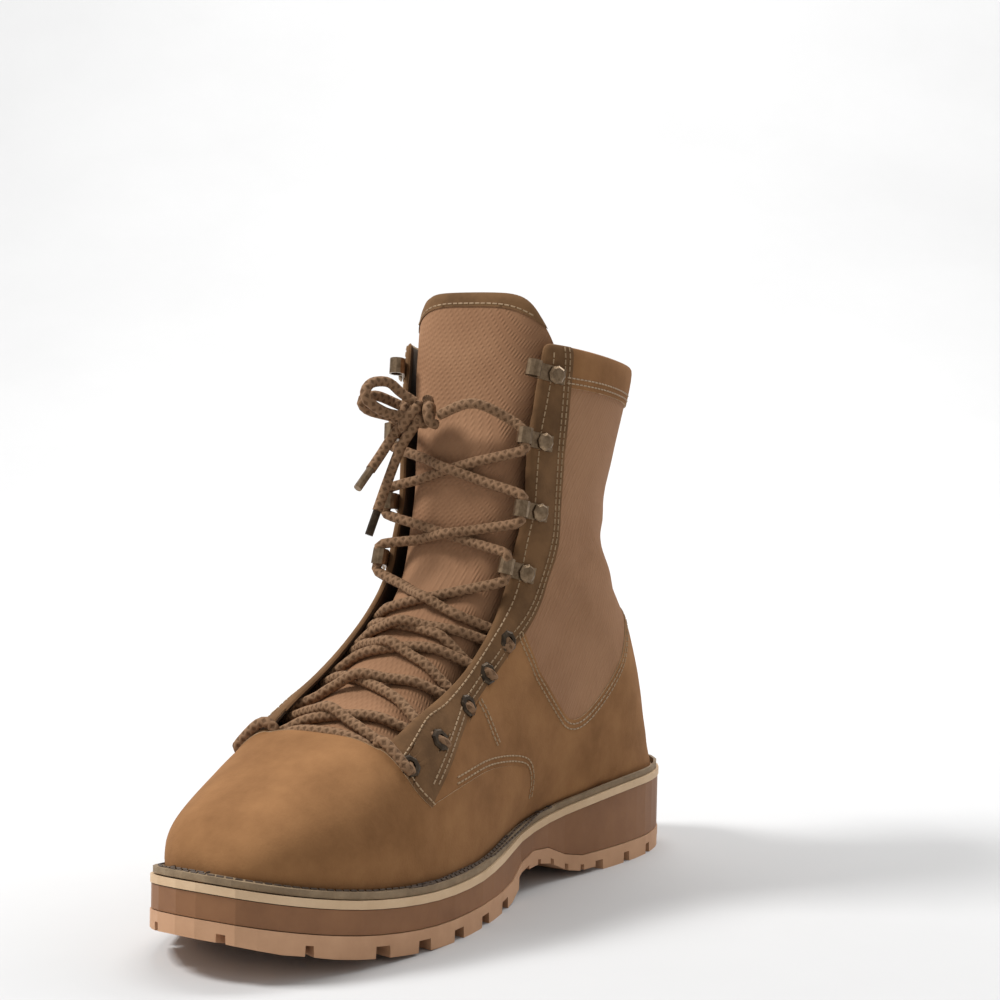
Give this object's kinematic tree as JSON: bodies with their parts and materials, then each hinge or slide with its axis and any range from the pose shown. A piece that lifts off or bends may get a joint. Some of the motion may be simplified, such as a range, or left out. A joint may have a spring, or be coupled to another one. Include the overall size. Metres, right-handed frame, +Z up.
{
  "type": "boot",
  "caption": "Tall lace-up combat boot of rough-out leather and nylon weave on a stitched welt and lugged rubber sole, right foot.",
  "frame": {"origin": "middle of the sole's outline box, at floor level under the boot", "axes": "+Z up, the toe points along -Y and the heel along +Y, +X is the inner (medial) side of this right boot"},
  "size_m": [0.1029, 0.3095, 0.2451],
  "materials": {
    "roughout_leather": "rough-out suede, matt",
    "nylon_weave": "twill weave, matt",
    "insole_cloth": "matt",
    "tan_rubber": "matt",
    "brown_rubber": "satin",
    "cream_rubber": "matt",
    "welt_leather": "matt",
    "lace_braid": "round braid, matt",
    "dark_brass": "dark antique",
    "antique_brass": "antique, worn"
  },
  "bodies": {
    "root": {"tongue": "nylon_weave", "outsole": "tan_rubber", "runner": "cream_rubber", "midsole": "brown_rubber", "insole": "insole_cloth", "welt": "welt_leather", "eyelet_medial_1": "dark_brass", "eyelet_medial_2": "dark_brass", "eyelet_medial_3": "dark_brass", "eyelet_medial_4": "dark_brass", "eyelet_medial_5": "dark_brass", "eyelet_lateral_1": "dark_brass", "eyelet_lateral_2": "dark_brass", "eyelet_lateral_3": "dark_brass", "eyelet_lateral_4": "dark_brass", "eyelet_lateral_5": "dark_brass", "upper": "roughout_leather", "clip_medial_1": "antique_brass", "rivet_medial_1": "antique_brass", "clip_medial_2": "antique_brass", "rivet_medial_2": "antique_brass", "clip_medial_3": "antique_brass", "rivet_medial_3": "antique_brass", "clip_medial_4": "antique_brass", "rivet_medial_4": "antique_brass", "clip_lateral_1": "antique_brass", "rivet_lateral_1": "antique_brass", "clip_lateral_2": "antique_brass", "rivet_lateral_2": "antique_brass", "clip_lateral_3": "antique_brass", "rivet_lateral_3": "antique_brass", "clip_lateral_4": "antique_brass", "rivet_lateral_4": "antique_brass", "lace_cross_1": "lace_braid", "lace_cross_2": "lace_braid", "lace_cross_3": "lace_braid", "lace_cross_4": "lace_braid", "lace_cross_5": "lace_braid", "lace_cross_6": "lace_braid", "lace_cross_7": "lace_braid", "lace_bar": "lace_braid", "lace_knot": "lace_braid", "lace_loop_small": "lace_braid", "lace_loop_large": "lace_braid", "lace_end_short": "lace_braid", "aglet_short": "antique_brass", "lace_end_long": "lace_braid", "aglet_long": "antique_brass", "lace_tie_medial": "lace_braid", "lace_tie_lateral": "lace_braid"}
  },
  "joints": []
}
